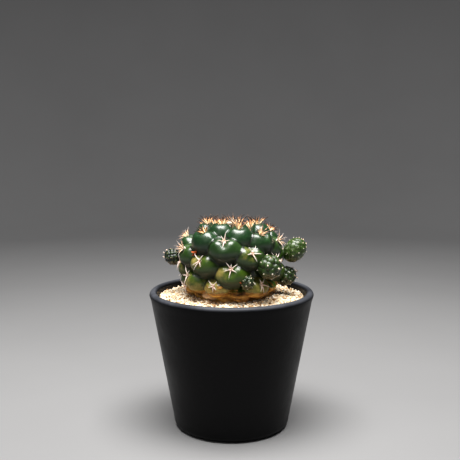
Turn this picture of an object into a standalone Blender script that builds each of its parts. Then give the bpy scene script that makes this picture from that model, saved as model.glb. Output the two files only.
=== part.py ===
"""A round, clustering cactus in a matte black pot: pot, layers of soil, stem, root, offsets and spines.

Metres, +Z up. The origin is the middle of the pot's underside, and -Y is the side the plant is shown from.
"""

import math

import bmesh
import bpy
import numpy as np
from mathutils import Matrix, Vector, noise
from mathutils.bvhtree import BVHTree

MM = 0.001

# Fits. Every piece that rests on another keeps TOUCH_GAP to it.
TOUCH_GAP = 0.3 * MM

# The pot: a plain tapered beaker with a thick, rounded lip and a shallow foot ring.
RIM_DIAMETER = 105 * MM
POT_HEIGHT = 88.5 * MM
BASE_DIAMETER = 72.8 * MM
POT_WALL = 5 * MM
POT_FLOOR = 5 * MM
FOOT_EDGE_RADIUS = 4.5 * MM
FOOT_RING_WIDTH = 6 * MM
FOOT_RECESS = 2 * MM
DRAIN_DIAMETER = 18 * MM
INNER_CORNER_RADIUS = 5 * MM
POT_STEPS = 48

# The net over the drain hole.
NET_DIAMETER = 30 * MM
NET_THICKNESS = 1.2 * MM
NET_OPENING = 3 * MM
NET_PITCH = 5 * MM
NET_RINGS = 2

# The layers in the pot, by the thickness of each and the drop from the lip to the gravel.
DRAINAGE_DEPTH = 14 * MM
DRESSING_DEPTH = 9 * MM
DRESSING_DROP = 3.4 * MM
DRESSING_MOUND = 2 * MM
MOUND_SHARE = 0.8
LAYER_STEPS = 32

# The stem: a squat barrel of swollen tubercles in one spiral.
BODY_RADIUS = 33.4 * MM
BODY_MIDDLE = 18 * MM
CROWN_RISE = 26.3 * MM
BASE_DROP = 22.5 * MM
BODY_SQUARENESS = 3.9
CORE_INSET = 7.5 * MM
CORE_STEPS = 24
CORE_LOWEST_TURN = 0.72
NECK_RADIUS = 21 * MM
NECK_FLARE = 3 * MM
GOLDEN_ANGLE = 137.508
FIRST_ANGLE = -56.5
TUBERCLES = 45
TUBERCLED_SKIN = 0.81
LOWEST_TURN = 0.97
GROWING_TUBERCLES = 4.1
FIRST_WITHERED = 37
WITHERED_SHARE = 0.6
STEM_VOXEL = 1.7 * MM
STEM_FACE_SHARE = 0.28

# A tubercle's half sizes and its areole's height over its middle, as shares of the side of the patch
# of skin it grew on.
TUBERCLE_HALF_WIDTH = 0.628
TUBERCLE_HALF_HEIGHT = 0.4694
TUBERCLE_HALF_DEPTH = 0.5792
AREOLE_RISE = 0.2682

# How far a tubercle leans from its place in the spiral (east and up, mm), and its share of full size.
LEANS = {
    5: (-1.5, -0.5, 1.0),
    8: (0.0, 4.0, 0.85),
    10: (1.5, 2.5, 1.0),
    11: (0.0, 2.0, 0.9),
    12: (0.0, 2.0, 0.85),
    13: (1.5, -0.5, 1.0),
    15: (0.0, 1.0, 1.0),
    16: (0.0, -2.0, 1.0),
    18: (2.0, 0.0, 1.0),
    20: (-1.5, 1.0, 1.0),
    21: (0.0, -1.0, 1.0),
    23: (0.0, 1.0, 1.0),
    26: (-1.5, -1.5, 1.0),
    28: (-0.5, 1.0, 0.9),
    29: (0.0, -2.0, 1.0),
    31: (-0.5, 1.5, 1.0),
    33: (0.0, 1.0, 0.8),
    34: (-1.0, -0.5, 0.95),
    36: (0.0, -3.0, 0.85),
    39: (0.0, 1.5, 0.85),
    41: (0.0, 0.0, 0.8),
}

# The offsets: azimuth from the front towards +X, height of the middle over the body's middle, how far it
# stands out from the body's outline, half its length and half its width, and how far its tip is raised.
OFFSETS = {
    "offset_right_upper": (87, 8 * MM, 6.7 * MM, 8.6 * MM, 6.9 * MM, 50),
    "offset_right_lower": (87, -8.6 * MM, 1.6 * MM, 6.9 * MM, 6.2 * MM, 20),
    "offset_front_right": (39, 1.8 * MM, 2.8 * MM, 8 * MM, 7.7 * MM, 35),
    "offset_front_small": (17.5, -7 * MM, -0.5 * MM, 5.4 * MM, 5 * MM, 40),
    "offset_left": (-102, 2 * MM, 5.4 * MM, 6 * MM, 5.4 * MM, 25),
}
OFFSET_SEGMENTS = 14
OFFSET_RINGS = 9

# The root under the stem.
ROOT_RADIUS = 13 * MM
ROOT_TIP_LIFT = 12.5 * MM
ROOT_TIP_RADIUS = 2.5 * MM
SIDE_ROOTS = 4
SIDE_ROOT_LENGTH = 20 * MM
SIDE_ROOT_RADIUS = 4.2 * MM
SIDE_ROOT_DROP = 12 * MM
SIDE_ROOT_FALL = 0.55
SIDE_ROOT_TAPER = 0.46
ROOT_VOXEL = 2 * MM
ROOT_FACE_SHARE = 0.3

# Areoles: a felted pad with a star of stout spines.
SPINES = 5
SPINE_LENGTH = 5.6 * MM
YOUNG_SPINE_SHARE = 0.85
SPINE_ELEVATION = 22
YOUNG_SPINE_ELEVATION = 55
PAD_RADIUS = 1.2 * MM
PAD_HEIGHT = 0.8 * MM
PAD_TAPER = 0.7
STAR_TILT = 12
STEEPEST_SPINE = 86
SPINE_LENGTH_SPREAD = 0.12
FIRST_CLUSTER = 1
LAST_CLUSTER = 42
BARE_TUBERCLES = (33, 41)

# The tuft of wool in the growing point.
WOOL_RADIUS = 3.4 * MM
WOOL_HEIGHT = 2.6 * MM
WOOL_SUNK_SHARE = 0.45

INSIDE_TOP = POT_HEIGHT - DRESSING_DROP
RIM_RADIUS = RIM_DIAMETER / 2
BASE_RADIUS = BASE_DIAMETER / 2
FLOOR_TOP = FOOT_RECESS + POT_FLOOR
WALL_SLOPE = (RIM_RADIUS - BASE_RADIUS) / POT_HEIGHT
DRESSING_BOTTOM = INSIDE_TOP - DRESSING_DEPTH
DRAINAGE_TOP = FLOOR_TOP + TOUCH_GAP + DRAINAGE_DEPTH
STEM_BOTTOM = DRESSING_BOTTOM + TOUCH_GAP
ROOT_TOP = DRESSING_BOTTOM - TOUCH_GAP
ROOT_LENGTH = ROOT_TOP - (DRAINAGE_TOP + ROOT_TIP_LIFT)


# ---------------------------------------------------------------- scene, materials and shared shapes


def clear_scene():
    for old in list(bpy.data.objects):
        bpy.data.objects.remove(old, do_unlink=True)


def collection_named(name):
    made = bpy.data.collections.new(name)
    bpy.context.scene.collection.children.link(made)
    return made


def material(name, colour, roughness, metallic=0.0):
    made = bpy.data.materials.new(name)
    made.use_nodes = True
    shader = made.node_tree.nodes["Principled BSDF"]
    shader.inputs["Base Color"].default_value = (*colour, 1.0)
    shader.inputs["Roughness"].default_value = roughness
    shader.inputs["Metallic"].default_value = metallic
    made.diffuse_color = (*colour, 1.0)
    return made


def object_of(name, mesh, finish, where):
    made = bpy.data.objects.new(name, mesh)
    where.objects.link(made)
    if finish is not None:
        mesh.materials.append(finish)
    mesh.shade_smooth()
    mesh.set_sharp_from_angle(angle=math.radians(35))
    return made


def mesh_of(name, shape):
    mesh = bpy.data.meshes.new(name)
    shape.to_mesh(mesh)
    shape.free()
    return mesh


def evaluated_mesh(made):
    """The object's mesh with its modifiers applied, as a new mesh."""
    bpy.context.view_layer.update()
    return bpy.data.meshes.new_from_object(made.evaluated_get(bpy.context.evaluated_depsgraph_get()))


def turned(name, profile, steps, finish, where, closed):
    """A profile of (radius, height) points turned about Z. An open one starts and ends on the axis."""
    shape = bmesh.new()
    points = [shape.verts.new((radius, 0.0, height)) for radius, height in profile]
    for first, second in zip(points, points[1:]):
        shape.edges.new((first, second))
    if closed:
        shape.edges.new((points[-1], points[0]))
    made = object_of(name, mesh_of(name, shape), finish, where)
    screw = made.modifiers.new("Turned", "SCREW")
    screw.steps = steps
    screw.render_steps = steps
    screw.use_merge_vertices = True
    screw.merge_threshold = 1e-6
    return made


def arc(middle, radius, start, end, steps):
    """Points of an arc, its angles in degrees from +X towards +Z."""
    turns = [math.radians(start + (end - start) * step / steps) for step in range(steps + 1)]
    return [(middle[0] + radius * math.cos(turn), middle[1] + radius * math.sin(turn)) for turn in turns]


def cut(made, cutter):
    boolean = made.modifiers.new("Cut by " + cutter.name, "BOOLEAN")
    boolean.operation = "DIFFERENCE"
    boolean.solver = "EXACT"
    boolean.object = cutter


def helper(made):
    made.hide_render = True
    made.display_type = "WIRE"
    return made


def swollen_copy(made, name, where):
    """A cutter with the object's final shape, TOUCH_GAP larger all round."""
    cutter = helper(object_of(name, evaluated_mesh(made), None, where))
    swell = cutter.modifiers.new("Clearance", "DISPLACE")
    swell.strength = TOUCH_GAP
    swell.mid_level = 0.0
    return cutter


def fused(made, voxel, face_share, where):
    """The object's overlapping shells grown into one skin, with no pocket left between them."""
    remesh = made.modifiers.new("One skin", "REMESH")
    remesh.mode = "VOXEL"
    remesh.voxel_size = voxel
    mesh = evaluated_mesh(made)
    shape = bmesh.new()
    shape.from_mesh(mesh)
    unseen = set(shape.faces)
    skins = []
    while unseen:
        skin = set()
        edge_of_skin = {unseen.pop()}
        while edge_of_skin:
            skin |= edge_of_skin
            sides = {side for face in edge_of_skin for side in face.edges}
            edge_of_skin = {face for side in sides for face in side.link_faces} & unseen
            unseen -= edge_of_skin
        skins.append(skin)
    outer_skin = max(skins, key=len)
    pockets = [face for face in shape.faces if face not in outer_skin]
    bmesh.ops.delete(shape, geom=pockets, context="FACES")
    name, finish = made.name, made.data.materials[0]
    bpy.data.objects.remove(made)
    mesh = mesh_of(name, shape)
    whole = object_of(name, mesh, finish, where)
    thin = whole.modifiers.new("Fewer faces", "DECIMATE")
    thin.ratio = face_share
    return whole


# ---------------------------------------------------------------- the pot and what fills it


def outer_radius(height):
    return BASE_RADIUS + WALL_SLOPE * height


def inner_radius(height):
    return outer_radius(height) - POT_WALL


def make_pot(finish, where):
    lip = POT_WALL / 2
    lip_middle = (outer_radius(POT_HEIGHT) - lip, POT_HEIGHT - lip)
    edge = FOOT_EDGE_RADIUS
    foot_inner = BASE_RADIUS - edge - FOOT_RING_WIDTH
    corner = INNER_CORNER_RADIUS
    profile = arc(lip_middle, lip, 180, 0, 8)
    profile += arc((outer_radius(edge) - edge, edge), edge, 0, -90, 4)
    profile += [
        (foot_inner, 0.0),
        (foot_inner - FOOT_RECESS / 2, FOOT_RECESS),
        (DRAIN_DIAMETER / 2, FOOT_RECESS),
        (DRAIN_DIAMETER / 2, FLOOR_TOP),
    ]
    profile += arc((inner_radius(FLOOR_TOP + corner) - corner, FLOOR_TOP + corner), corner, -90, 0, 3)
    return turned("pot", profile, POT_STEPS, finish, where, closed=True)


def make_drain_net(finish, where):
    """A thin disc with hexagonal openings in rings about its middle."""
    curve = bpy.data.curves.new("drain_net", "CURVE")
    curve.dimensions = "2D"
    curve.fill_mode = "BOTH"
    curve.extrude = NET_THICKNESS / 2

    def outline(middle, radius, corners):
        spline = curve.splines.new("POLY")
        spline.points.add(corners - 1)
        spline.use_cyclic_u = True
        for index, point in enumerate(spline.points):
            turn = math.tau * index / corners
            point.co = (middle[0] + radius * math.cos(turn), middle[1] + radius * math.sin(turn), 0.0, 1.0)

    outline((0.0, 0.0), NET_DIAMETER / 2, 24)
    for row in range(-NET_RINGS, NET_RINGS + 1):
        for column in range(-NET_RINGS, NET_RINGS + 1):
            if abs(row + column) <= NET_RINGS:
                across = NET_PITCH * (column + row / 2)
                outline((across, NET_PITCH * row * math.sqrt(3) / 2), NET_OPENING / 2, 6)
    curve.materials.append(finish)
    net = bpy.data.objects.new("drain_net", curve)
    net.location.z = FLOOR_TOP + TOUCH_GAP + NET_THICKNESS / 2
    where.objects.link(net)
    return net


def make_drainage_layer(finish, where):
    """Coarse pumice over the floor and the net."""
    bottom = FLOOR_TOP + TOUCH_GAP
    net_top = bottom + NET_THICKNESS + TOUCH_GAP
    net_edge = NET_DIAMETER / 2 + TOUCH_GAP
    corner = INNER_CORNER_RADIUS
    round_middle = (inner_radius(FLOOR_TOP + corner) - corner - TOUCH_GAP, bottom + corner)
    profile = [(0.0, DRAINAGE_TOP), (inner_radius(DRAINAGE_TOP) - TOUCH_GAP, DRAINAGE_TOP)]
    profile += arc(round_middle, corner, 0, -90, 3)
    profile += [(net_edge, bottom), (net_edge, net_top), (0.0, net_top)]
    return turned("drainage_layer", profile, LAYER_STEPS, finish, where, closed=False)


def make_potting_mix(finish, where, root_cutter):
    bottom = DRAINAGE_TOP + TOUCH_GAP
    top = DRESSING_BOTTOM - TOUCH_GAP
    profile = [
        (0.0, top),
        (inner_radius(top) - TOUCH_GAP, top),
        (inner_radius(bottom) - TOUCH_GAP, bottom),
        (0.0, bottom),
    ]
    mix = turned("potting_mix", profile, LAYER_STEPS, finish, where, closed=False)
    cut(mix, root_cutter)
    return mix


def make_top_dressing(finish, where, stem_cutter):
    """Fine gravel round the neck of the stem, a little higher at the plant than at the wall."""
    wall = inner_radius(INSIDE_TOP) - TOUCH_GAP
    neck = BODY_RADIUS * MOUND_SHARE
    profile = [
        (0.0, INSIDE_TOP + DRESSING_MOUND),
        (neck, INSIDE_TOP + DRESSING_MOUND),
        (0.5 * (neck + wall), INSIDE_TOP + 0.4 * DRESSING_MOUND),
        (wall, INSIDE_TOP),
        (inner_radius(DRESSING_BOTTOM) - TOUCH_GAP, DRESSING_BOTTOM),
        (0.0, DRESSING_BOTTOM),
    ]
    dressing = turned("top_dressing", profile, LAYER_STEPS, finish, where, closed=False)
    cut(dressing, stem_cutter)
    return dressing


# ---------------------------------------------------------------- the stem


def body_point(angle, inset=0.0):
    """(radius, height) on the stem's outline, its angle 0 at the crown and pi at the base."""
    rise = CROWN_RISE if math.cos(angle) > 0 else BASE_DROP
    power = 2 / BODY_SQUARENESS
    radius = (BODY_RADIUS - inset) * abs(math.sin(angle)) ** power
    height = math.copysign((rise - inset) * abs(math.cos(angle)) ** power, math.cos(angle))
    return radius, POT_HEIGHT + BODY_MIDDLE + height


def outline_radius(height):
    """The outline's radius at a height over the body's middle."""
    rise = CROWN_RISE if height > 0 else BASE_DROP
    return BODY_RADIUS * (1 - abs(height / rise) ** BODY_SQUARENESS) ** (1 / BODY_SQUARENESS)


def growth(index):
    """The share of its full patch of skin that a tubercle has, counted from the crown."""
    return 1 - math.exp(-(index + 1) / GROWING_TUBERCLES)


def freshness(index):
    """The share of its full size that a tubercle keeps as it withers into the base."""
    aged = max(0.0, (index - FIRST_WITHERED) / (TUBERCLES - FIRST_WITHERED))
    return 1 - (1 - WITHERED_SHARE) * min(1.0, aged)


def spiral():
    """The areoles: each tubercle's place, outward, east and up directions, and the side of its patch."""
    angles = np.linspace(0.0, LOWEST_TURN * math.pi, 2000)
    outline = np.array([body_point(angle) for angle in angles])
    steps = np.hypot(*np.diff(outline, axis=0).T)
    skin = np.concatenate([[0.0], np.cumsum(math.pi * (outline[1:, 0] + outline[:-1, 0]) * steps)])
    full_patch = TUBERCLED_SKIN * skin[-1] / sum(growth(index) for index in range(TUBERCLES))
    found = []
    used = 0.0
    for index in range(TUBERCLES):
        patch = full_patch * growth(index)
        angle = np.interp(used + patch / 2, skin, angles)
        used += patch
        radius, height = body_point(angle)
        before, after = body_point(angle - 0.01), body_point(angle + 0.01)
        east_lean, up_lean, size = LEANS.get(index, (0.0, 0.0, 1.0))
        azimuth = math.radians(FIRST_ANGLE - GOLDEN_ANGLE * index)
        azimuth += east_lean * MM / max(radius, BODY_RADIUS / 2)
        outward = Vector((math.sin(azimuth), -math.cos(azimuth), 0.0))
        east = Vector((math.cos(azimuth), math.sin(azimuth), 0.0))
        up = (outward * (before[0] - after[0]) + Vector((0, 0, before[1] - after[1]))).normalized()
        normal = east.cross(up)
        place = outward * radius + Vector((0, 0, height)) + up * up_lean * MM
        found.append((place, normal, east, up, size * freshness(index) * math.sqrt(patch)))
    return found


def add_ellipsoid(shape, turn, middle, halves, segments, rings):
    """A closed ellipsoid added to the bmesh, its half axes along the columns of turn."""
    scale = Matrix.Diagonal((*halves, 1.0))
    where = Matrix.Translation(middle) @ turn.to_4x4() @ scale
    bmesh.ops.create_uvsphere(shape, u_segments=segments, v_segments=rings, radius=1.0, matrix=where)


def add_core(shape):
    """The barrel that carries the tubercles, and the neck that goes down through the gravel."""
    profile = [body_point(math.pi * CORE_LOWEST_TURN * step / 9, CORE_INSET) for step in range(10)]
    profile[0] = (0.0, profile[0][1])
    profile += [
        (NECK_RADIUS + NECK_FLARE, INSIDE_TOP + DRESSING_MOUND),
        (NECK_RADIUS, STEM_BOTTOM),
        (0.0, STEM_BOTTOM),
    ]
    points = [shape.verts.new((radius, 0.0, height)) for radius, height in profile]
    edges = [shape.edges.new(pair) for pair in zip(points, points[1:])]
    bmesh.ops.spin(
        shape,
        geom=points + edges,
        axis=(0, 0, 1),
        cent=(0, 0, 0),
        angle=math.tau,
        steps=CORE_STEPS,
        use_merge=True,
    )
    bmesh.ops.remove_doubles(shape, verts=shape.verts, dist=1e-6)
    bmesh.ops.recalc_face_normals(shape, faces=shape.faces)


def make_stem(places, finish, where):
    shape = bmesh.new()
    add_core(shape)
    for place, normal, east, up, size in places:
        halves = (TUBERCLE_HALF_WIDTH * size, TUBERCLE_HALF_HEIGHT * size, TUBERCLE_HALF_DEPTH * size)
        rise = AREOLE_RISE * size
        depth = halves[2] * math.sqrt(1 - (rise / halves[1]) ** 2)
        turn = Matrix((east, up, normal)).transposed()
        add_ellipsoid(shape, turn, place - normal * depth - up * rise, halves, 16, 10)
    swollen = object_of("stem", mesh_of("stem", shape), finish, where)
    return fused(swollen, STEM_VOXEL, STEM_FACE_SHARE, where)


def make_taproot(finish, where):
    """A stout root with a few side roots, grown into one body."""
    shape = bmesh.new()
    upright = Matrix.Translation((0, 0, ROOT_TOP - ROOT_LENGTH / 2))
    bmesh.ops.create_cone(
        shape,
        cap_ends=True,
        segments=16,
        radius1=ROOT_TIP_RADIUS,
        radius2=ROOT_RADIUS,
        depth=ROOT_LENGTH,
        matrix=upright,
    )
    for index in range(SIDE_ROOTS):
        turn = math.tau * (index + 0.4) / SIDE_ROOTS
        start = Vector((0, 0, ROOT_TOP - SIDE_ROOT_DROP - index * ROOT_VOXEL))
        heading = Vector((math.cos(turn), math.sin(turn), -SIDE_ROOT_FALL)).normalized()
        length = SIDE_ROOT_LENGTH + ROOT_RADIUS / 2
        turn_to = heading.to_track_quat("Z", "Y").to_matrix().to_4x4()
        bmesh.ops.create_cone(
            shape,
            cap_ends=True,
            segments=8,
            radius1=SIDE_ROOT_RADIUS,
            radius2=SIDE_ROOT_RADIUS * SIDE_ROOT_TAPER,
            depth=length,
            matrix=Matrix.Translation(start + heading * length / 2) @ turn_to,
        )
    branched = object_of("taproot", mesh_of("taproot", shape), finish, where)
    return fused(branched, ROOT_VOXEL, ROOT_FACE_SHARE, where)


# ---------------------------------------------------------------- the offsets


def make_offset(name, finish, where, stem_cutter):
    azimuth, height, standing, half_length, half_width, raised = OFFSETS[name]
    turn = math.radians(azimuth)
    outward = Vector((math.sin(turn), -math.cos(turn), 0.0))
    east = Vector((math.cos(turn), math.sin(turn), 0.0))
    slope = math.radians(raised)
    tip = outward * math.cos(slope) + Vector((0, 0, math.sin(slope)))
    side = tip.cross(east)
    shape = bmesh.new()
    middle = outward * (outline_radius(height) + standing)
    middle.z = POT_HEIGHT + BODY_MIDDLE + height
    frame = Matrix((east, side, tip)).transposed()
    halves = (half_width, half_width, half_length)
    add_ellipsoid(shape, frame, middle, halves, OFFSET_SEGMENTS, OFFSET_RINGS)
    bmesh.ops.recalc_face_normals(shape, faces=shape.faces)
    offset = object_of(name, mesh_of(name, shape), finish, where)
    cut(offset, stem_cutter)
    return offset


def make_crown_wool(finish, where, stem_cutter):
    shape = bmesh.new()
    middle = Vector((0, 0, body_point(0.0)[1] - WOOL_HEIGHT * WOOL_SUNK_SHARE))
    halves = (WOOL_RADIUS, WOOL_RADIUS, WOOL_HEIGHT)
    add_ellipsoid(shape, Matrix.Identity(3), middle, halves, 12, 8)
    wool = object_of("crown_wool", mesh_of("crown_wool", shape), finish, where)
    cut(wool, stem_cutter)
    return wool


# ---------------------------------------------------------------- the spine clusters


def is_inside(skin, point):
    """Whether a ray from the point leaves the skin more often than it enters."""
    heading = Vector((0.31, 0.17, 0.94)).normalized()
    crossings = 0
    hit = skin.ray_cast(point, heading)[0]
    while hit is not None:
        crossings += 1
        hit = skin.ray_cast(hit + heading * 1e-6, heading)[0]
    return crossings % 2 == 1


class Surroundings:
    """What a new spine has to keep clear of: skins, and points along the spines already placed."""

    SAMPLES = 8

    def __init__(self, solids):
        graph = bpy.context.evaluated_depsgraph_get()
        self.skins = [BVHTree.FromObject(solid, graph) for solid in solids]
        self.points = np.zeros((0, 3))

    def samples(self, start, end):
        shares = np.linspace(0.2, 1.0, self.SAMPLES)[:, None]
        return np.array(start) * (1 - shares) + np.array(end) * shares

    def height_over(self, point):
        """The distance from the nearest skin, negative inside it."""
        heights = [skin.find_nearest(point)[3] for skin in self.skins]
        return -1.0 if any(is_inside(skin, point) for skin in self.skins) else min(heights)

    def is_clear(self, start, end, thickness):
        samples = self.samples(start, end)
        for share, sample in zip(np.linspace(0.2, 1.0, self.SAMPLES), samples):
            if self.height_over(Vector(sample)) < TOUCH_GAP + 0.5 * thickness * (1 - share):
                return False
        if len(self.points):
            apart = np.linalg.norm(samples[:, None] - self.points[None], axis=2)
            return apart.min() > thickness + TOUCH_GAP
        return True

    def add(self, spines):
        for start, end in spines:
            self.points = np.concatenate([self.points, self.samples(start, end)])


def pad_place(place, normal, up, surroundings):
    """Where the pad's underside goes: on the skin, leaning up, and clear of it all round."""
    tilt = math.radians(STAR_TILT)
    facing = (normal * math.cos(tilt) + up * math.sin(tilt)).normalized()
    right = up.cross(facing).normalized() * -1
    above = facing.cross(right)
    rim = [math.tau * step / SPINES for step in range(SPINES)]
    lift = -3 * MM
    while True:
        middle = place + facing * lift
        ring = [middle + (right * math.cos(a) + above * math.sin(a)) * PAD_RADIUS for a in rim]
        if min(surroundings.height_over(point) for point in [middle, *ring]) > TOUCH_GAP:
            return middle, Matrix((right, above, facing)).transposed()
        lift += 0.1 * MM


def make_spine_cluster(index, place, normal, up, finish, where, surroundings):
    """A felted pad whose sides are drawn out into a star of spines."""
    young = math.exp(-index / GROWING_TUBERCLES)
    length = SPINE_LENGTH * (1 - (1 - YOUNG_SPINE_SHARE) * young)
    elevation = SPINE_ELEVATION + (YOUNG_SPINE_ELEVATION - SPINE_ELEVATION) * young
    middle, frame = pad_place(place, normal, up, surroundings)
    shape = bmesh.new()
    bmesh.ops.create_cone(
        shape,
        cap_ends=True,
        segments=SPINES,
        radius1=PAD_RADIUS,
        radius2=PAD_RADIUS * PAD_TAPER,
        depth=PAD_HEIGHT,
        matrix=Matrix.Translation(middle) @ frame.to_4x4() @ Matrix.Translation((0, 0, PAD_HEIGHT / 2)),
    )
    facing = frame.col[2]
    sides = [face for face in shape.faces if len(face.verts) == 4]
    drawn = bmesh.ops.extrude_discrete_faces(shape, faces=sides)["faces"]
    spines = []
    for number, face in enumerate(drawn):
        start = face.calc_center_median()
        radial = (start - middle).normalized()
        radial = (radial - facing * radial.dot(facing)).normalized()
        spread = noise.noise(Vector((index, number, 0.5))) - 1
        own_length = length * (1 + SPINE_LENGTH_SPREAD * spread)
        rise = elevation
        end = start
        while rise < STEEPEST_SPINE:
            slope = math.radians(rise)
            end = start + (radial * math.cos(slope) + facing * math.sin(slope)) * own_length
            if surroundings.is_clear(start, end, PAD_HEIGHT):
                break
            rise += 4
        spines.append((start.copy(), end.copy()))
        bmesh.ops.pointmerge(shape, verts=list(face.verts), merge_co=end)
    surroundings.add(spines)
    bmesh.ops.recalc_face_normals(shape, faces=shape.faces)
    name = f"spine_cluster_{index:02d}"
    return object_of(name, mesh_of(name, shape), finish, where)


# ---------------------------------------------------------------- putting it together


def main():
    clear_scene()
    parts = collection_named("potted_round_cactus")
    cutters = collection_named("cutters")

    black = material("matte_black_pot", (0.009, 0.009, 0.010), 0.55)
    net_plastic = material("net_plastic", (0.02, 0.02, 0.022), 0.5)
    pumice = material("coarse_pumice", (0.46, 0.40, 0.32), 0.95)
    soil = material("potting_mix", (0.060, 0.040, 0.026), 0.95)
    gravel = material("cream_gravel", (0.72, 0.62, 0.46), 0.9)
    root_skin = material("root_skin", (0.35, 0.24, 0.14), 0.85)
    stem_skin = material("stem_skin", (0.045, 0.115, 0.045), 0.38)
    offset_skin = material("offset_skin", (0.040, 0.100, 0.035), 0.45)
    horn = material("spine_horn", (0.80, 0.66, 0.52), 0.5)
    felt = material("crown_felt", (0.85, 0.82, 0.76), 0.95)

    make_pot(black, parts)
    make_drain_net(net_plastic, parts)
    make_drainage_layer(pumice, parts)

    root = make_taproot(root_skin, parts)
    make_potting_mix(soil, parts, swollen_copy(root, "root_cutter", cutters))

    places = spiral()
    stem = make_stem(places, stem_skin, parts)
    stem_cutter = swollen_copy(stem, "stem_cutter", cutters)
    dressing = make_top_dressing(gravel, parts, stem_cutter)

    solids = [stem, dressing]
    for name in OFFSETS:
        solids.append(make_offset(name, offset_skin, parts, stem_cutter))
    solids.append(make_crown_wool(felt, parts, stem_cutter))

    bpy.context.view_layer.update()
    surroundings = Surroundings(solids)
    for index in range(FIRST_CLUSTER, LAST_CLUSTER + 1):
        if index not in BARE_TUBERCLES:
            place, normal, _, up, _ = places[index]
            make_spine_cluster(index, place, normal, up, horn, parts, surroundings)


main()
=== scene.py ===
"""Looks for the potted round cactus: a clustering cactus of swollen tubercles in a matte black pot of gravel.

Metres, +Z up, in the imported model's frame. -Y is the side the plant is shown from.
"""

import math

import bmesh
import bpy
import numpy as np
from mathutils import Matrix, Vector, noise
from mathutils.bvhtree import BVHTree


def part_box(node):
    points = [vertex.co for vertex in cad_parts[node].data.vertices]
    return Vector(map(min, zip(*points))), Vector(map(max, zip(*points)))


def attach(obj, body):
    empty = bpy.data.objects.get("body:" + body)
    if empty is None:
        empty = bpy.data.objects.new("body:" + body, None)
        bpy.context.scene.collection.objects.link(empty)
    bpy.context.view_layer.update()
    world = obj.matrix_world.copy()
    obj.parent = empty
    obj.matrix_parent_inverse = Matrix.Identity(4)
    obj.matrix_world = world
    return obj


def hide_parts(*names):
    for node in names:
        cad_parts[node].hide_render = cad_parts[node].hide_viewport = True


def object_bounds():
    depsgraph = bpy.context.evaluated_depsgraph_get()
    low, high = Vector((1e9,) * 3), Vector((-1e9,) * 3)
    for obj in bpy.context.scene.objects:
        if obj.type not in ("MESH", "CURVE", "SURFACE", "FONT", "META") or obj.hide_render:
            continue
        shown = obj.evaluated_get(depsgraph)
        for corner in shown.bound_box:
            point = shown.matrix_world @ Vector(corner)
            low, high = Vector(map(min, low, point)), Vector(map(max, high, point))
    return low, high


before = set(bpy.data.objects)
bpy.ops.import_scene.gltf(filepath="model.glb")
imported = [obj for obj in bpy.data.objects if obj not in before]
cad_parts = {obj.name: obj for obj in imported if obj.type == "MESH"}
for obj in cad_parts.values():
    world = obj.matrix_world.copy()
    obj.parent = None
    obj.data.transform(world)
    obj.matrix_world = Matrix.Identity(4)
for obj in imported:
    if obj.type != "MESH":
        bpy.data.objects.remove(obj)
cad_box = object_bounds()

MM = 0.001
BODY = "root"
chance = np.random.default_rng(11)

# The pot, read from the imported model.
POT_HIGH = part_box("pot")[1]
POT_HEIGHT = POT_HIGH.z
RIM_RADIUS = POT_HIGH.x
BASE_RADIUS = 36.4 * MM
POT_WALL = 5 * MM
POT_FLOOR = 5 * MM
FOOT_EDGE_RADIUS = 4.5 * MM
FOOT_RING_WIDTH = 6 * MM
FOOT_RECESS = 2 * MM
DRAIN_RADIUS = 9 * MM
WALL_SLOPE = (RIM_RADIUS - BASE_RADIUS) / POT_HEIGHT
POT_STEPS = 192

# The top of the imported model, which no spine may pass.
CAD_TOP = cad_box[1].z - 0.1 * MM

# The gravel.
GRAVEL_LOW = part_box("top_dressing")[0]
GRAVEL_DROP = 3.4 * MM
GRAVEL_LEVEL = POT_HEIGHT - GRAVEL_DROP
GRAIN_PITCH = 1.45 * MM
GRAIN_RADIUS = 0.86 * MM
GRAIN_LAYERS = 2

# The stem's outline and its spiral of tubercles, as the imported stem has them.
BODY_RADIUS = 33.4 * MM
BODY_MIDDLE = 18 * MM
CROWN_RISE = 26.3 * MM
BASE_DROP = 22.5 * MM
BODY_SQUARENESS = 3.9
CROWN_SETTLE = 3.0 * MM
CORE_INSET = 7.5 * MM
CORE_LOWEST_TURN = 0.72
GOLDEN_ANGLE = 137.508
FIRST_ANGLE = -56.5
TUBERCLES = 45
TUBERCLED_SKIN = 0.81
LOWEST_TURN = 0.97
GROWING_TUBERCLES = 4.1
FIRST_WITHERED = 37
WITHERED_SHARE = 0.6
TUBERCLE_HALVES = np.array([10.3, 7.7, 9.5]) * MM
AREOLE_RISE = 4.4 * MM
STEM_VOXEL = 0.53 * MM

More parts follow.
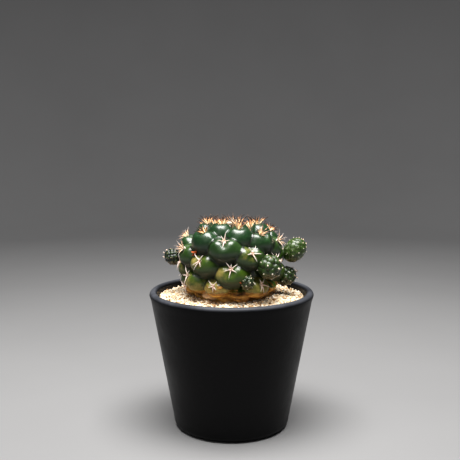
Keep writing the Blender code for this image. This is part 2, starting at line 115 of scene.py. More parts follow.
# How a tubercle differs from its place in the spiral: east, up and outward (mm), its share of full size,
# and the degrees that it is turned towards the east.
LEANS = {
    5: (0.2, 0.5, 0.0, 0.93, 0),
    7: (-1.0, 0.5, 0.0, 0.82, 0),
    8: (0.0, 6.0, -0.5, 0.68, 0),
    10: (1.5, 2.5, 0.0, 0.94, 0),
    11: (0.0, 4.0, -1.0, 0.75, 0),
    12: (-1.0, 2.6, -1.8, 0.74, 0),
    13: (2.5, 1.5, 0.3, 1.0, -6),
    15: (-0.6, 2.6, 0.0, 1.0, 0),
    16: (0.0, 0.5, -1.5, 0.85, 0),
    18: (2.0, 1.9, 1.2, 1.12, 0),
    20: (-3.5, 2.5, -1.2, 0.95, 0),
    21: (0.0, -1.0, 0.0, 1.0, 0),
    23: (0.0, 2.4, 0.8, 1.1, 0),
    26: (-1.3, 0.9, 0.5, 1.07, 0),
    28: (-0.5, 1.0, 0.0, 0.9, 0),
    29: (0.0, -1.2, -0.8, 0.87, 0),
    31: (-0.9, 2.1, 0.8, 1.1, -5),
    33: (0.0, 1.0, 0.0, 0.8, 0),
    34: (-1.0, -0.5, 0.0, 0.88, -20),
    36: (0.0, -1.8, 0.0, 0.85, 0),
    37: (0.0, 0.0, -1.0, 0.85, 0),
    39: (0.0, 1.7, 0.0, 0.88, 0),
    41: (0.0, 0.0, -2.5, 0.6, 0),
    42: (0.0, 0.0, -1.5, 0.8, 0),
}

# How far down its tubercle an areole sits below its usual place.
LOWERED = {23: 1.4 * MM, 26: 1.2 * MM}

# The notch above each areole, which parts the tubercle into two lobes (shares of the tubercle's half size).
NOTCH_DEPTH = 0.2
YOUNG_NOTCH_DEPTH = 0.36
NOTCH_WIDTH = 0.2
LOBE_SWELL = 0.1
CHIN_TAPER = 0.12
AREOLE_SEAT = 0.09

# The corky base.
CORK_RADIUS = 25.5 * MM
CORK_TOP = 6 * MM
CORK_FOLDS = 4
LUMP_PLACE = np.array([-12.5 * MM, -21.0 * MM, POT_HEIGHT + 0.8 * MM])
LUMP_HALVES = np.array([5.6, 4.0, 2.8]) * MM

# Areoles and spines.
FIRST_CLUSTER = 1
LAST_CLUSTER = 42
BARE_TUBERCLES = (33, 41)
STAR_TILT = 3
ARMS = 5
YOUNG_ARMS = 11
SPINE_LENGTH = 5.6 * MM
YOUNG_SPINE_LENGTH = 8.0 * MM
CROWN_SPINE_EXTRA = 2.2 * MM
SPINE_RADIUS = 0.45 * MM
SPINE_ELEVATION = 8
YOUNG_SPINE_ELEVATION = 56
PAD_RADIUS = 1.2 * MM

# How fresh (dark-tipped, thin and steep) the spines of these tubercles still look, where age alone doesn't tell.
FRESH_SPINES = {18: 0.25, 20: 0.6, 21: 0.65}

# The bed of wool between the youngest tubercles.
WOOL_BED_HALVES = np.array([15.5, 15.5, 1.5]) * MM
WOOL_BED_HEIGHT = POT_HEIGHT + BODY_MIDDLE + CROWN_RISE - 7.4 * MM

# The stars that are known arm by arm: each arm's direction (degrees from east towards up) and length, mm.
STARS = {
    18: ((82, 5.3), (121, 3.6), (180, 4.4), (5, 3.8), (267, 5.2), (230, 2.4), (310, 2.6)),
    23: ((120, 4.3), (61, 4.8), (-5, 5.5), (294, 5.6), (188, 3.6)),
    26: ((128, 5.2), (56, 4.4), (215, 5.0), (245, 6.4), (297, 3.6)),
    31: ((124, 5.0), (40, 4.7), (194, 4.4), (-26, 3.9), (258, 6.0), (88, 3.0)),
    36: ((-25, 5.4), (243, 4.7), (270, 5.6), (120, 3.6), (60, 3.4)),
    39: ((126, 4.2), (52, 3.8), (-40, 3.0), (270, 3.4), (195, 3.0)),
}

# The offsets: azimuth, degrees that the tip is raised, and how dark the skin is (0 to 1). Then in mm the height over
# the body's middle, the stand-out from its outline, half the length and half the width. They are as the packed
# offsets have them, but for the small one at the front, which is a little smaller and further round.
OFFSETS = {
    "offset_right_upper": (87, 50, 0.0, 8, 6.7, 8.6, 6.9),
    "offset_right_lower": (87, 20, 0.5, -8.6, 1.6, 6.9, 6.2),
    "offset_front_right": (39, 35, 0.45, 1.8, 2.8, 8, 7.7),
    "offset_front_small": (16.5, 40, 0.7, -7, -0.5, 5.0, 4.4),
    "offset_left": (-102, 25, 1.0, 2, 5.4, 6, 5.4),
}

# Each offset's knobs, mm: how far apart, how high, the size of the felt on each and the length of its top spines.
KNOBS = {
    "offset_right_upper": (3.8, 0.6, 0.28, 1.0),
    "offset_right_lower": (4.2, 1.4, 0.42, 2.4),
    "offset_front_right": (5.8, 1.7, 0.6, 3.0),
    "offset_front_small": (3.4, 1.1, 0.42, 1.2),
    "offset_left": (3.3, 1.2, 0.16, 1.6),
}

# The camera: as far, as high and as tilted as the plant is seen from.
CAMERA_PLACE = (-1.0 * MM, -485.2 * MM, 192 * MM)
CAMERA_TILT = 7.62
CAMERA_LENS = 60.27

# The studio.
STUDIO_RADIUS = 1.4
SWEEP_RADIUS = 0.5
STUDIO_HEIGHT = 1.3


# ---- shapes


def smooth(value, low, high):
    share = np.clip((value - low) / (high - low), 0.0, 1.0)
    return share * share * (3 - 2 * share)


def arc(middle, radius, start, end, steps):
    """Points of an arc, its angles in degrees from +X towards +Z."""
    turns = [math.radians(start + (end - start) * step / steps) for step in range(steps + 1)]
    return [(middle[0] + radius * math.cos(turn), middle[1] + radius * math.sin(turn)) for turn in turns]


def lathe(profile, steps, closed):
    """A profile of (radius, height) turned about Z, as points and quads. An open one starts and ends on the axis."""
    profile = np.array(profile)
    turns = np.arange(steps) * math.tau / steps
    rings = [
        np.stack([radius * np.cos(turns), radius * np.sin(turns), np.full(steps, height)], axis=1)
        for radius, height in profile
    ]
    points = np.concatenate(rings)
    count = len(profile)
    faces = []
    for ring in range(count if closed else count - 1):
        first, second = ring * steps, (ring + 1) % count * steps
        for step in range(steps):
            after = (step + 1) % steps
            faces.append((first + step, second + step, second + after, first + after))
    return points, faces


def ball(subdivisions):
    """A unit sphere of even triangles, as points and faces."""
    shape = bmesh.new()
    bmesh.ops.create_icosphere(shape, subdivisions=subdivisions, radius=1.0)
    points = np.array([vert.co for vert in shape.verts])
    faces = np.array([[vert.index for vert in face.verts] for face in shape.faces])
    shape.free()
    return points, faces


def spine_shape(base, tip, lift, radius, sides=8, rings=8, taper=0.8):
    """A tapered, slightly bowed awl: points, faces and how far along it each point lies."""
    axis = tip - base
    length = np.linalg.norm(axis)
    axis = axis / length
    side = np.cross(axis, lift)
    side /= np.linalg.norm(side)
    over = np.cross(side, axis)
    turns = np.arange(sides) * math.tau / sides
    points = []
    along = []
    for share in np.linspace(0.0, 1.0, rings):
        middle = base + axis * length * share + over * length * 0.09 * math.sin(math.pi * share)
        thick = radius * (1 - share) ** taper * (1 + 0.35 * math.exp(-(share / 0.12) ** 2)) + 0.015 * MM
        for turn in turns:
            points.append(middle + (side * math.cos(turn) + over * math.sin(turn)) * thick)
            along.append(share)
    faces = []
    for ring in range(rings - 1):
        for step in range(sides):
            after = (step + 1) % sides
            low, high = ring * sides, (ring + 1) * sides
            faces.append((low + step, low + after, high + after, high + step))
    faces.append(tuple(reversed(range(sides))))
    faces.append(tuple(range((rings - 1) * sides, rings * sides)))
    return np.array(points), faces, np.array(along)


class Pile:
    """Closed shapes gathered into one mesh, with values at their points for the materials to read."""

    def __init__(self):
        self.points = []
        self.faces = []
        self.finishes = []
        self.values = {}
        self.count = 0

    def add(self, points, faces, finish=0, **values):
        self.points.append(points)
        self.faces += [tuple(int(corner) + self.count for corner in face) for face in faces]
        self.finishes += [finish] * len(faces)
        for name, value in values.items():
            kept = self.values.setdefault(name, [])
            kept.append(np.zeros(self.count - sum(len(part) for part in kept)))
            kept.append(np.broadcast_to(value, len(points)))
        self.count += len(points)

    def piece(self, name, finishes, flat=False):
        mesh = bpy.data.meshes.new(name)
        mesh.from_pydata(np.concatenate(self.points), [], self.faces)
        for finish in finishes:
            mesh.materials.append(finish)
        mesh.polygons.foreach_set("material_index", self.finishes)
        for value_name, kept in self.values.items():
            values = np.concatenate(kept)
            whole = np.zeros(self.count, np.float32)
            whole[: len(values)] = values
            mesh.attributes.new(value_name, "FLOAT", "POINT").data.foreach_set("value", whole)
        mesh.update()
        if flat:
            mesh.shade_flat()
        else:
            mesh.shade_smooth()
        made = bpy.data.objects.new(name, mesh)
        bpy.context.scene.collection.objects.link(made)
        return made


def stands_for(piece, slot, *nodes):
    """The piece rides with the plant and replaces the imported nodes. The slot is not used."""
    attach(piece, BODY)
    if nodes:
        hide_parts(*nodes)
    return piece


# ---- materials


def tone(red, green, blue):
    """A colour as a screen shows it, 0 to 255, in the linear values that the shader takes."""
    shares = [value / 255 for value in (red, green, blue)]
    return (*[s / 12.92 if s <= 0.04045 else ((s + 0.055) / 1.055) ** 2.4 for s in shares], 1.0)


class Look:
    """A material, and the short calls that its patterns are made of."""

    def __init__(self, name, roughness=0.5, **sockets):
        self.material = bpy.data.materials.new(name)
        self.material.use_nodes = True
        self.tree = self.material.node_tree
        self.shader = self.tree.nodes["Principled BSDF"]
        self.shader.inputs["Roughness"].default_value = roughness
        for socket, value in sockets.items():
            self.shader.inputs[socket.replace("_", " ")].default_value = value
        self.place = self.tree.nodes.new("ShaderNodeTexCoord").outputs["Object"]

    def put(self, socket, value):
        if isinstance(value, bpy.types.NodeSocket):
            self.tree.links.new(value, socket)
        else:
            socket.default_value = value

    def node(self, kind, output, **inputs):
        """A new node with these inputs, as its named output."""
        made = self.tree.nodes.new("ShaderNode" + kind)
        for socket, value in inputs.items():
            self.put(made.inputs[socket], value)
        return made.outputs[output]

    def value(self, name):
        """What the mesh holds at its points under this name."""
        found = self.tree.nodes.new("ShaderNodeAttribute")
        found.attribute_name = name
        return found.outputs["Fac"]

    def stretched(self, across, up):
        return self.node("Mapping", "Vector", Vector=self.place, Scale=(across, across, up))

    def noise(self, grain, detail=4.0, rough=0.55, where=None):
        """Cloudy noise whose features are about one grain (metres) across."""
        where = where or self.place
        return self.node("TexNoise", "Fac", Vector=where, Scale=1 / grain, Detail=detail, Roughness=rough)

    def cells(self, grain):
        """The distance to the nearest of many points that lie about one grain (metres) apart."""
        return self.node("TexVoronoi", "Distance", Vector=self.place, Scale=1 / grain)

    def math(self, operation, first, second=0.5, third=0.5):
        made = self.tree.nodes.new("ShaderNodeMath")
        made.operation = operation
        for socket, value in zip(made.inputs, (first, second, third)):
            self.put(socket, value)
        return made.outputs["Value"]

    def span(self, value, low, high, out_low=0.0, out_high=1.0):
        made = self.tree.nodes.new("ShaderNodeMapRange")
        made.interpolation_type = "SMOOTHSTEP"
        for socket, given in zip(made.inputs, (value, low, high, out_low, out_high)):
            self.put(socket, given)
        return made.outputs["Result"]

    def mix(self, share, first, second):
        made = self.tree.nodes.new("ShaderNodeMix")
        made.data_type = "RGBA"
        self.put(made.inputs[0], share)
        self.put(made.inputs[6], first)
        self.put(made.inputs[7], second)
        return made.outputs[2]

    def ramp(self, value, *stops):
        made = self.tree.nodes.new("ShaderNodeValToRGB")
        while len(made.color_ramp.elements) < len(stops):
            made.color_ramp.elements.new(0.5)
        for element, (place, colour) in zip(made.color_ramp.elements, stops):
            element.position = place
            element.color = colour
        self.put(made.inputs["Fac"], value)
        return made.outputs["Color"]

    def bump(self, height, depth, strength=1.0, after=None):
        before = {} if after is None else {"Normal": after}
        return self.node("Bump", "Normal", Height=height, Distance=depth, Strength=strength, **before)

    def finish(self, colour=None, roughness=None, normal=None):
        for socket, value in (("Base Color", colour), ("Roughness", roughness), ("Normal", normal)):
            if value is not None:
                self.put(self.shader.inputs[socket], value)
        return self.material


def pot_look():
    look = Look("matte_black_pot", Specular_IOR_Level=0.1)
    cloud = look.noise(14 * MM, 5.0)
    cast = look.noise(1.1 * MM, 3.0)
    dust = look.noise(0.35 * MM, 2.0)
    colour = look.ramp(cloud, (0.3, tone(4, 4, 5)), (0.7, tone(8, 8, 9)))
    colour = look.mix(look.span(dust, 0.66, 0.74, 0.0, 0.25), colour, tone(38, 38, 40))
    # Painted sheen: the rim's rounded top is a lighter grey-blue, as where the top light catches it.
    lip_sheen = look.ramp(cloud, (0.35, tone(46, 48, 53)), (0.65, tone(66, 68, 74)))
    colour = look.mix(look.value("lip"), colour, lip_sheen)
    roughness = look.span(cloud, 0.3, 0.7, 0.36, 0.46)
    normal = look.bump(cast, 0.05 * MM)
    normal = look.bump(look.noise(9 * MM, 2.0), 0.25 * MM, 0.6, normal)
    return look.finish(colour, roughness, normal)


def net_look():
    look = Look("net_plastic", roughness=0.5)
    colour = look.ramp(look.noise(2 * MM), (0.3, tone(30, 30, 32)), (0.7, tone(46, 46, 48)))
    return look.finish(colour, None, look.bump(look.noise(0.5 * MM), 0.03 * MM))


def pumice_look():
    look = Look("coarse_pumice", roughness=0.95)
    cells = look.cells(4 * MM)
    colour = look.ramp(look.noise(4 * MM), (0.3, tone(150, 140, 124)), (0.7, tone(205, 196, 178)))
    colour = look.mix(look.span(cells, 0.45, 0.8), colour, tone(70, 60, 50))
    return look.finish(colour, None, look.bump(cells, -1.5 * MM))


def mix_look():
    look = Look("potting_mix", roughness=0.95)
    cells = look.cells(2.4 * MM)
    grit = look.noise(2 * MM)
    colour = look.ramp(grit, (0.3, tone(38, 28, 20)), (0.55, tone(74, 58, 42)), (0.8, tone(128, 108, 84)))
    return look.finish(colour, None, look.bump(cells, -1.0 * MM))


def root_look():
    look = Look("root_skin", roughness=0.85)
    bark = look.noise(3 * MM, 5.0, 0.6, look.stretched(1.0, 0.3))
    colour = look.ramp(bark, (0.3, tone(92, 62, 36)), (0.7, tone(176, 140, 96)))
    return look.finish(colour, None, look.bump(bark, 0.6 * MM))


def gravel_look():
    look = Look("cream_gravel", Specular_IOR_Level=0.3)
    shade = look.value("shade")
    colour = look.ramp(
        shade,
        (0.0, tone(96, 70, 44)),
        (0.07, tone(150, 112, 70)),
        (0.16, tone(206, 170, 122)),
        (0.34, tone(236, 214, 178)),
        (0.7, tone(248, 234, 208)),
        (1.0, tone(255, 249, 236)),
    )
    stain = look.noise(0.5 * MM, 4.0)
    colour = look.mix(look.span(stain, 0.5, 0.75, 0.0, 0.45), colour, tone(188, 146, 96))
    return look.finish(colour, look.span(stain, 0.3, 0.7, 0.7, 0.95), look.bump(look.noise(0.25 * MM), 0.06 * MM))


def gravel_bed_look():
    look = Look("gravel_bed", roughness=0.95)
    grit = look.noise(0.9 * MM, 5.0, 0.7)
    colour = look.ramp(grit, (0.35, tone(66, 46, 28)), (0.55, tone(132, 100, 64)), (0.7, tone(196, 164, 118)))
    return look.finish(colour, None, look.bump(grit, 0.6 * MM))


def skin_look():
    """The stem's skin: deep waxy green, yellowing and corky with age."""
    look = Look("stem_skin", Specular_IOR_Level=0.5, Coat_Weight=0.2, Coat_Roughness=0.2)
    look.shader.inputs["Subsurface Weight"].default_value = 0.06
    look.shader.inputs["Subsurface Radius"].default_value = (0.4, 1.0, 0.3)
    look.shader.inputs["Subsurface Scale"].default_value = 1.2 * MM
    old = look.value("old")
    cloud = look.noise(9 * MM, 4.0)
    fine = look.noise(1.3 * MM, 4.0)
    young_green = look.ramp(cloud, (0.3, tone(13, 40, 18)), (0.7, tone(27, 58, 29)))
    old_green = look.ramp(cloud, (0.3, tone(42, 68, 4)), (0.7, tone(76, 100, 14)))
    colour = look.mix(look.span(old, 0.25, 0.85), young_green, old_green)
    colour = look.mix(look.span(fine, 0.5, 0.8, 0.0, 0.25), colour, tone(60, 92, 50))
    specks = look.cells(0.8 * MM)
    colour = look.mix(look.span(specks, 0.0, 0.2, 0.3, 0.0), colour, tone(110, 138, 86))
    yellowed = look.math("MULTIPLY_ADD", look.noise(4 * MM, 5.0, 0.6), 1.0, look.value("yellow"))
    colour = look.mix(look.span(yellowed, 0.62, 1.25, 0.0, 0.85), colour, tone(180, 162, 84))
    scarred = look.math("MULTIPLY_ADD", look.noise(1.8 * MM, 5.0, 0.65), 1.0, look.value("yellow"))
    colour = look.mix(look.span(scarred, 1.12, 1.35, 0.0, 0.8), colour, tone(150, 100, 42))
    # Painted shade: the grooves between tubercles are darkened towards near-black green.
    groove = look.value("groove")
    colour = look.mix(look.span(groove, 0.0, 1.0, 0.0, 0.9), colour, tone(14, 18, 8))
    # Painted shade: the downward-facing skin is darkened towards near-black green, less so near the gravel.
    colour = look.mix(look.span(look.value("under"), 0.0, 1.0, 0.0, 0.85), colour, tone(8, 13, 2))
    cork = look.value("cork")
    folds = look.noise(5 * MM, 5.0, 0.65, look.stretched(0.55, 3.2))
    bark = look.ramp(
        folds,
        (0.32, tone(48, 27, 8)),
        (0.45, tone(140, 92, 32)),
        (0.58, tone(200, 152, 66)),
        (0.76, tone(232, 200, 130)),
    )
    corked = look.span(look.math("ADD", cork, look.math("MULTIPLY", fine, 0.5)), 0.55, 0.95)
    colour = look.mix(corked, colour, bark)
    colour = look.mix(look.value("lump"), colour, tone(214, 178, 140))
    roughness = look.span(fine, 0.3, 0.7, 0.27, 0.35)
    roughness = look.math("MAXIMUM", roughness, look.span(look.value("under"), 0.0, 0.5, 0.3, 0.8))
    roughness = look.math("MAXIMUM", roughness, look.math("MULTIPLY", corked, 0.85))
    roughness = look.math("MAXIMUM", roughness, look.span(yellowed, 0.8, 1.2, 0.2, 0.6))
    normal = look.bump(fine, 0.05 * MM)
    bark_depth = look.math("MULTIPLY", folds, corked)
    normal = look.bump(bark_depth, 1.0 * MM, 1.0, normal)
    return look.finish(colour, roughness, normal)


def offset_look():
    look = Look("offset_skin", Specular_IOR_Level=0.3, Coat_Weight=0.3, Coat_Roughness=0.22)
    aged = look.value("aged")
    cloud = look.noise(4 * MM, 4.0)
    fine = look.noise(0.8 * MM, 4.0)
    fresh = look.ramp(cloud, (0.3, tone(32, 52, 14)), (0.7, tone(60, 82, 28)))
    dark = look.ramp(cloud, (0.3, tone(4, 14, 9)), (0.7, tone(13, 27, 16)))
    colour = look.mix(aged, fresh, dark)
    colour = look.mix(look.span(fine, 0.55, 0.8, 0.0, 0.25), colour, tone(80, 96, 50))
    # Painted highlight: the crest of each knob is a lighter green.
    colour = look.mix(look.value("top"), colour, tone(76, 104, 56))
    # Painted shade in the grooves between knobs.
    colour = look.mix(look.value("groove"), colour, tone(22, 28, 16))
    colour = look.mix(look.value("under"), colour, tone(92, 76, 40))
    return look.finish(colour, look.span(fine, 0.3, 0.7, 0.3, 0.45), look.bump(fine, 0.05 * MM))


def spine_look():
    """Horn: white with a pinkish cast when old, tan to orange with a dark tip when young."""
    look = Look("spine_horn", Specular_IOR_Level=0.4)
    along = look.value("along")
    young = look.value("young")
    streak = look.noise(0.6 * MM, 4.0)
    old = look.ramp(along, (0.0, tone(226, 178, 150)), (0.25, tone(238, 214, 200)), (0.8, tone(244, 232, 224)))
    new = look.ramp(
        along,
        (0.0, tone(252, 242, 224)),
        (0.4, tone(248, 218, 172)),
        (0.55, tone(232, 172, 116)),
        (0.64, tone(104, 56, 40)),
        (0.72, tone(30, 18, 16)),
    )
    colour = look.mix(young, old, new)
    colour = look.mix(look.span(streak, 0.45, 0.75, 0.0, 0.4), colour, tone(196, 160, 128))
    return look.finish(colour, look.span(streak, 0.3, 0.7, 0.4, 0.6), look.bump(streak, 0.04 * MM))


def felt_look():
    look = Look("crown_felt", roughness=0.95, Sheen_Weight=0.3)
    colour = look.ramp(look.noise(0.7 * MM), (0.3, tone(214, 198, 172)), (0.7, tone(250, 244, 230)))
    colour = look.mix(look.value("brown"), colour, tone(150, 110, 76))
    return look.finish(colour, None, look.bump(look.noise(0.2 * MM), 0.05 * MM))


def dried_look():
    look = Look("dried_flower", roughness=0.7)
    cloud = look.noise(1.2 * MM)
    colour = look.ramp(cloud, (0.3, tone(126, 50, 12)), (0.6, tone(190, 88, 22)), (0.8, tone(220, 138, 62)))
    return look.finish(colour, None, look.bump(look.noise(0.4 * MM), 0.1 * MM))


def studio_look():
    look = Look("studio_floor", roughness=0.8)
    colour = look.ramp(look.noise(0.3, 3.0), (0.3, tone(123, 123, 124)), (0.7, tone(128, 128, 129)))
    return look.finish(colour)


# ---- the pot and the gravel


def outer_radius(height):
    return BASE_RADIUS + WALL_SLOPE * height


def inner_radius(height):
    return outer_radius(height) - POT_WALL


def make_pot():
    lip = POT_WALL / 2
    edge = FOOT_EDGE_RADIUS
    floor_top = FOOT_RECESS + POT_FLOOR
    foot_inner = BASE_RADIUS - edge - FOOT_RING_WIDTH
    profile = [(DRAIN_RADIUS, floor_top - 1 * MM), (DRAIN_RADIUS + 0.3 * MM, floor_top)]
    profile += arc((inner_radius(floor_top + edge) - edge, floor_top + edge), edge, -90, 0, 8)
    for step in range(1, 12):
        height = floor_top + edge + (POT_HEIGHT - lip - floor_top - edge) * step / 12
        profile.append((inner_radius(height), height))
    profile += arc((outer_radius(POT_HEIGHT) - lip, POT_HEIGHT - lip), lip, 180, 0, 24)
    for step in range(1, 24):
        height = POT_HEIGHT - lip - (POT_HEIGHT - lip - edge) * step / 24
        profile.append((outer_radius(height), height))
    profile += arc((outer_radius(edge) - edge, edge), edge, 0, -90, 12)
    profile += [
        (foot_inner + 0.4 * MM, 0.0),
        (foot_inner, 0.2 * MM),
        (foot_inner - FOOT_RECESS / 2, FOOT_RECESS),
        (DRAIN_RADIUS + 0.3 * MM, FOOT_RECESS),
        (DRAIN_RADIUS, FOOT_RECESS + 0.3 * MM),
    ]
    points, faces = lathe(profile, POT_STEPS, closed=True)
    pile = Pile()
    # Painted sheen: the share of the rim's rounded top that the material paints lighter.
    lip_sheen = smooth(points[:, 2], POT_HEIGHT - 2.4 * MM, POT_HEIGHT - 0.5 * MM)
    lip_sheen *= smooth(np.hypot(points[:, 0], points[:, 1]), RIM_RADIUS - POT_WALL, RIM_RADIUS - 0.6 * POT_WALL)
    pile.add(points, [face[::-1] for face in faces], lip=lip_sheen)
    stands_for(pile.piece("pot_body", [pot_look()]), "pot_ceramic", "pot")


def gravel_height(east, north):
    """The gravel's uneven surface: low at the wall, heaped here and there against the plant."""
    radius = math.hypot(east, north)
    heap = noise.noise(Vector((east / 9, north / 9, 3.0 * MM)) / MM) * 0.9 * MM
    heap += noise.noise(Vector((east / 3.2, north / 3.2, 7.0 * MM)) / MM) * 0.35 * MM
    slope = float(smooth(-radius, -45 * MM, -27 * MM))
    return GRAVEL_LEVEL - 0.5 * MM + 1.3 * MM * slope + heap


def make_gravel(stem_skin):
    """A bed of grit under some thousands of single grains."""
    wall = inner_radius(GRAVEL_LEVEL) - 0.4 * MM
    rings = 40
    steps = 120
    pile = Pile()
    points = [(0.0, 0.0, gravel_height(0.0, 0.0) - 1.2 * MM)]
    for ring in range(1, rings + 1):
        radius = wall * ring / rings
        for step in range(steps):
            turn = math.tau * step / steps
            east, north = radius * math.cos(turn), radius * math.sin(turn)
            points.append((east, north, gravel_height(east, north) - 0.9 * MM))
    low = inner_radius(GRAVEL_LOW.z) - 0.4 * MM
    for step in range(steps):
        turn = math.tau * step / steps
        points.append((low * math.cos(turn), low * math.sin(turn), GRAVEL_LOW.z))
    faces = [(0, 1 + step, 1 + (step + 1) % steps) for step in range(steps)]
    for ring in range(rings):
        first, second = 1 + ring * steps, 1 + (ring + 1) * steps
        for step in range(steps):
            after = (step + 1) % steps
            faces.append((first + step, second + step, second + after, first + after))
    last = 1 + rings * steps
    faces.append(tuple(last + step for step in reversed(range(steps))))
    pile.add(np.array(points), faces, finish=1, shade=0.3)

    grain, grain_faces = ball(1)
    row_height = GRAIN_PITCH * math.sqrt(3) / 2
    columns = int(wall / GRAIN_PITCH) + 1
    rows = int(wall / row_height) + 1
    for layer in range(GRAIN_LAYERS):
        for row in range(-rows, rows + 1):
            for column in range(-columns, columns + 1):
                spread = chance.uniform(-0.32, 0.32, 2) * GRAIN_PITCH
                east = GRAIN_PITCH * (column + 0.5 * (row % 2)) + spread[0] + layer * 0.5 * GRAIN_PITCH
                north = row_height * row + spread[1] + layer * 0.3 * GRAIN_PITCH
                size = GRAIN_RADIUS * chance.uniform(0.65, 1.25)
                stretch = chance.uniform(0.7, 1.15, 3)
                jitter = chance.uniform(0.78, 1.2, len(grain))
                axis = Vector(chance.normal(size=3)).normalized()
                turn = np.array(Matrix.Rotation(chance.uniform(0, math.tau), 3, axis))
                drop = chance.uniform(-0.5, 0.25) * MM
                shade = chance.uniform()
                radius = math.hypot(east, north)
                if radius > wall - size * 0.9:
                    continue
                if layer and chance.uniform() < 0.35:
                    continue
                height = gravel_height(east, north) - 0.55 * MM + layer * 0.6 * MM + drop
                middle = Vector((east, north, height))
                if radius < CORK_RADIUS - 1.5 * MM:
                    continue
                near, facing, _, _ = stem_skin.find_nearest(middle)
                if near is not None and (middle - near).dot(facing) < -0.3 * size:
                    continue
                points = (grain * jitter[:, None] * stretch * size) @ turn.T + np.array(middle)
                pile.add(points, grain_faces, shade=shade)
    piece = pile.piece("gravel", [gravel_look(), gravel_bed_look()], flat=True)
    stands_for(piece, "cream_gravel", "top_dressing")


# ---- the stem


def body_point(angle, inset=0.0):
    """(radius, height) on the stem's outline, its angle 0 at the crown and pi at the base."""
    rise = CROWN_RISE if math.cos(angle) > 0 else BASE_DROP
    power = 2 / BODY_SQUARENESS
    radius = (BODY_RADIUS - inset) * abs(math.sin(angle)) ** power
    height = math.copysign((rise - inset) * abs(math.cos(angle)) ** power, math.cos(angle))
    return radius, POT_HEIGHT + BODY_MIDDLE + height


def outline_radius(height):
    rise = CROWN_RISE if height > 0 else BASE_DROP
    return BODY_RADIUS * (1 - abs(height / rise) ** BODY_SQUARENESS) ** (1 / BODY_SQUARENESS)


def growth(index):
    return 1 - math.exp(-(index + 1) / GROWING_TUBERCLES)


def freshness(index):
    aged = max(0.0, (index - FIRST_WITHERED) / (TUBERCLES - FIRST_WITHERED))
    return 1 - (1 - WITHERED_SHARE) * min(1.0, aged)


def spiral():
    """Each tubercle's areole, its frame (columns east, up and outward) and its size as a share."""
    angles = np.linspace(0.0, LOWEST_TURN * math.pi, 2000)
    outline = np.array([body_point(angle) for angle in angles])
    steps = np.hypot(*np.diff(outline, axis=0).T)
    skin = np.concatenate([[0.0], np.cumsum(math.pi * (outline[1:, 0] + outline[:-1, 0]) * steps)])
    full_patch = TUBERCLED_SKIN * skin[-1] / sum(growth(index) for index in range(TUBERCLES))
    found = []
    used = 0.0
    for index in range(TUBERCLES):
        patch = full_patch * growth(index)
        angle = np.interp(used + patch / 2, skin, angles)
        used += patch
        radius, height = body_point(angle)
        before, after = body_point(angle - 0.01), body_point(angle + 0.01)
        east_lean, up_lean, out_lean, size, twist = LEANS.get(index, (0.0, 0.0, 0.0, 1.0, 0))
        azimuth = math.radians(FIRST_ANGLE - GOLDEN_ANGLE * index)
        azimuth += east_lean * MM / max(radius, BODY_RADIUS / 2)
        outward = np.array([math.sin(azimuth), -math.cos(azimuth), 0.0])
        east = np.array([math.cos(azimuth), math.sin(azimuth), 0.0])
        up = outward * (before[0] - after[0]) + np.array([0.0, 0.0, before[1] - after[1]])
        up /= np.linalg.norm(up)
        normal = np.cross(east, up)
        place = outward * radius + np.array([0.0, 0.0, height]) + (up * up_lean + normal * out_lean) * MM
        share = size * freshness(index) * math.sqrt(growth(index))
        middle_height = POT_HEIGHT + BODY_MIDDLE
        inner = max(smooth(place[1], -8 * MM, 4 * MM), 1 - smooth(radius, 6 * MM, 13 * MM))
        place[2] -= CROWN_SETTLE * inner * smooth(height, middle_height + 9 * MM, middle_height + CROWN_RISE)
        facing = Matrix.Rotation(math.radians(twist), 3, Vector(up))
        turn = np.array(facing) @ np.stack([east, up, normal], axis=1)
        found.append((place, turn, share))
    return found


def tubercle_middle(place, turn, share):
    halves = TUBERCLE_HALVES * share
    rise = AREOLE_RISE * share
    depth = halves[2] * math.sqrt(1 - (rise / halves[1]) ** 2)
    return place - turn[:, 2] * depth - turn[:, 1] * rise, halves


def tubercle_swell(unit, index):
    """How far a point in this direction stands from the tubercle's middle: two lobes parted above the areole."""
    east, up, out = unit.T
    rise = AREOLE_RISE / TUBERCLE_HALVES[1]
    settled = smooth(index, 14, 20)
    depth = YOUNG_NOTCH_DEPTH + (NOTCH_DEPTH - YOUNG_NOTCH_DEPTH) * settled
    notch = depth * np.exp(-((np.abs(east) / NOTCH_WIDTH) ** 1.5)) * smooth(up, -0.3, 0.6)
    lobes = LOBE_SWELL * np.exp(-(((np.abs(east) - 0.45) / 0.3) ** 2)) * smooth(up, -0.2, 0.55)
    seat = AREOLE_SEAT * settled * np.exp(-((east / 0.22) ** 2) - ((up - rise) / 0.24) ** 2) * (out > 0)
    uneven = np.array([noise.noise(Vector(point) * 1.3 + Vector((index * 3.7, 0, 0))) for point in unit])
    swell = 1 - notch + lobes + seat + 0.045 * uneven
    chin = np.stack([1 + CHIN_TAPER * np.minimum(up, 0), np.ones_like(up), np.ones_like(up)], axis=1)
    return swell[:, None] * chin


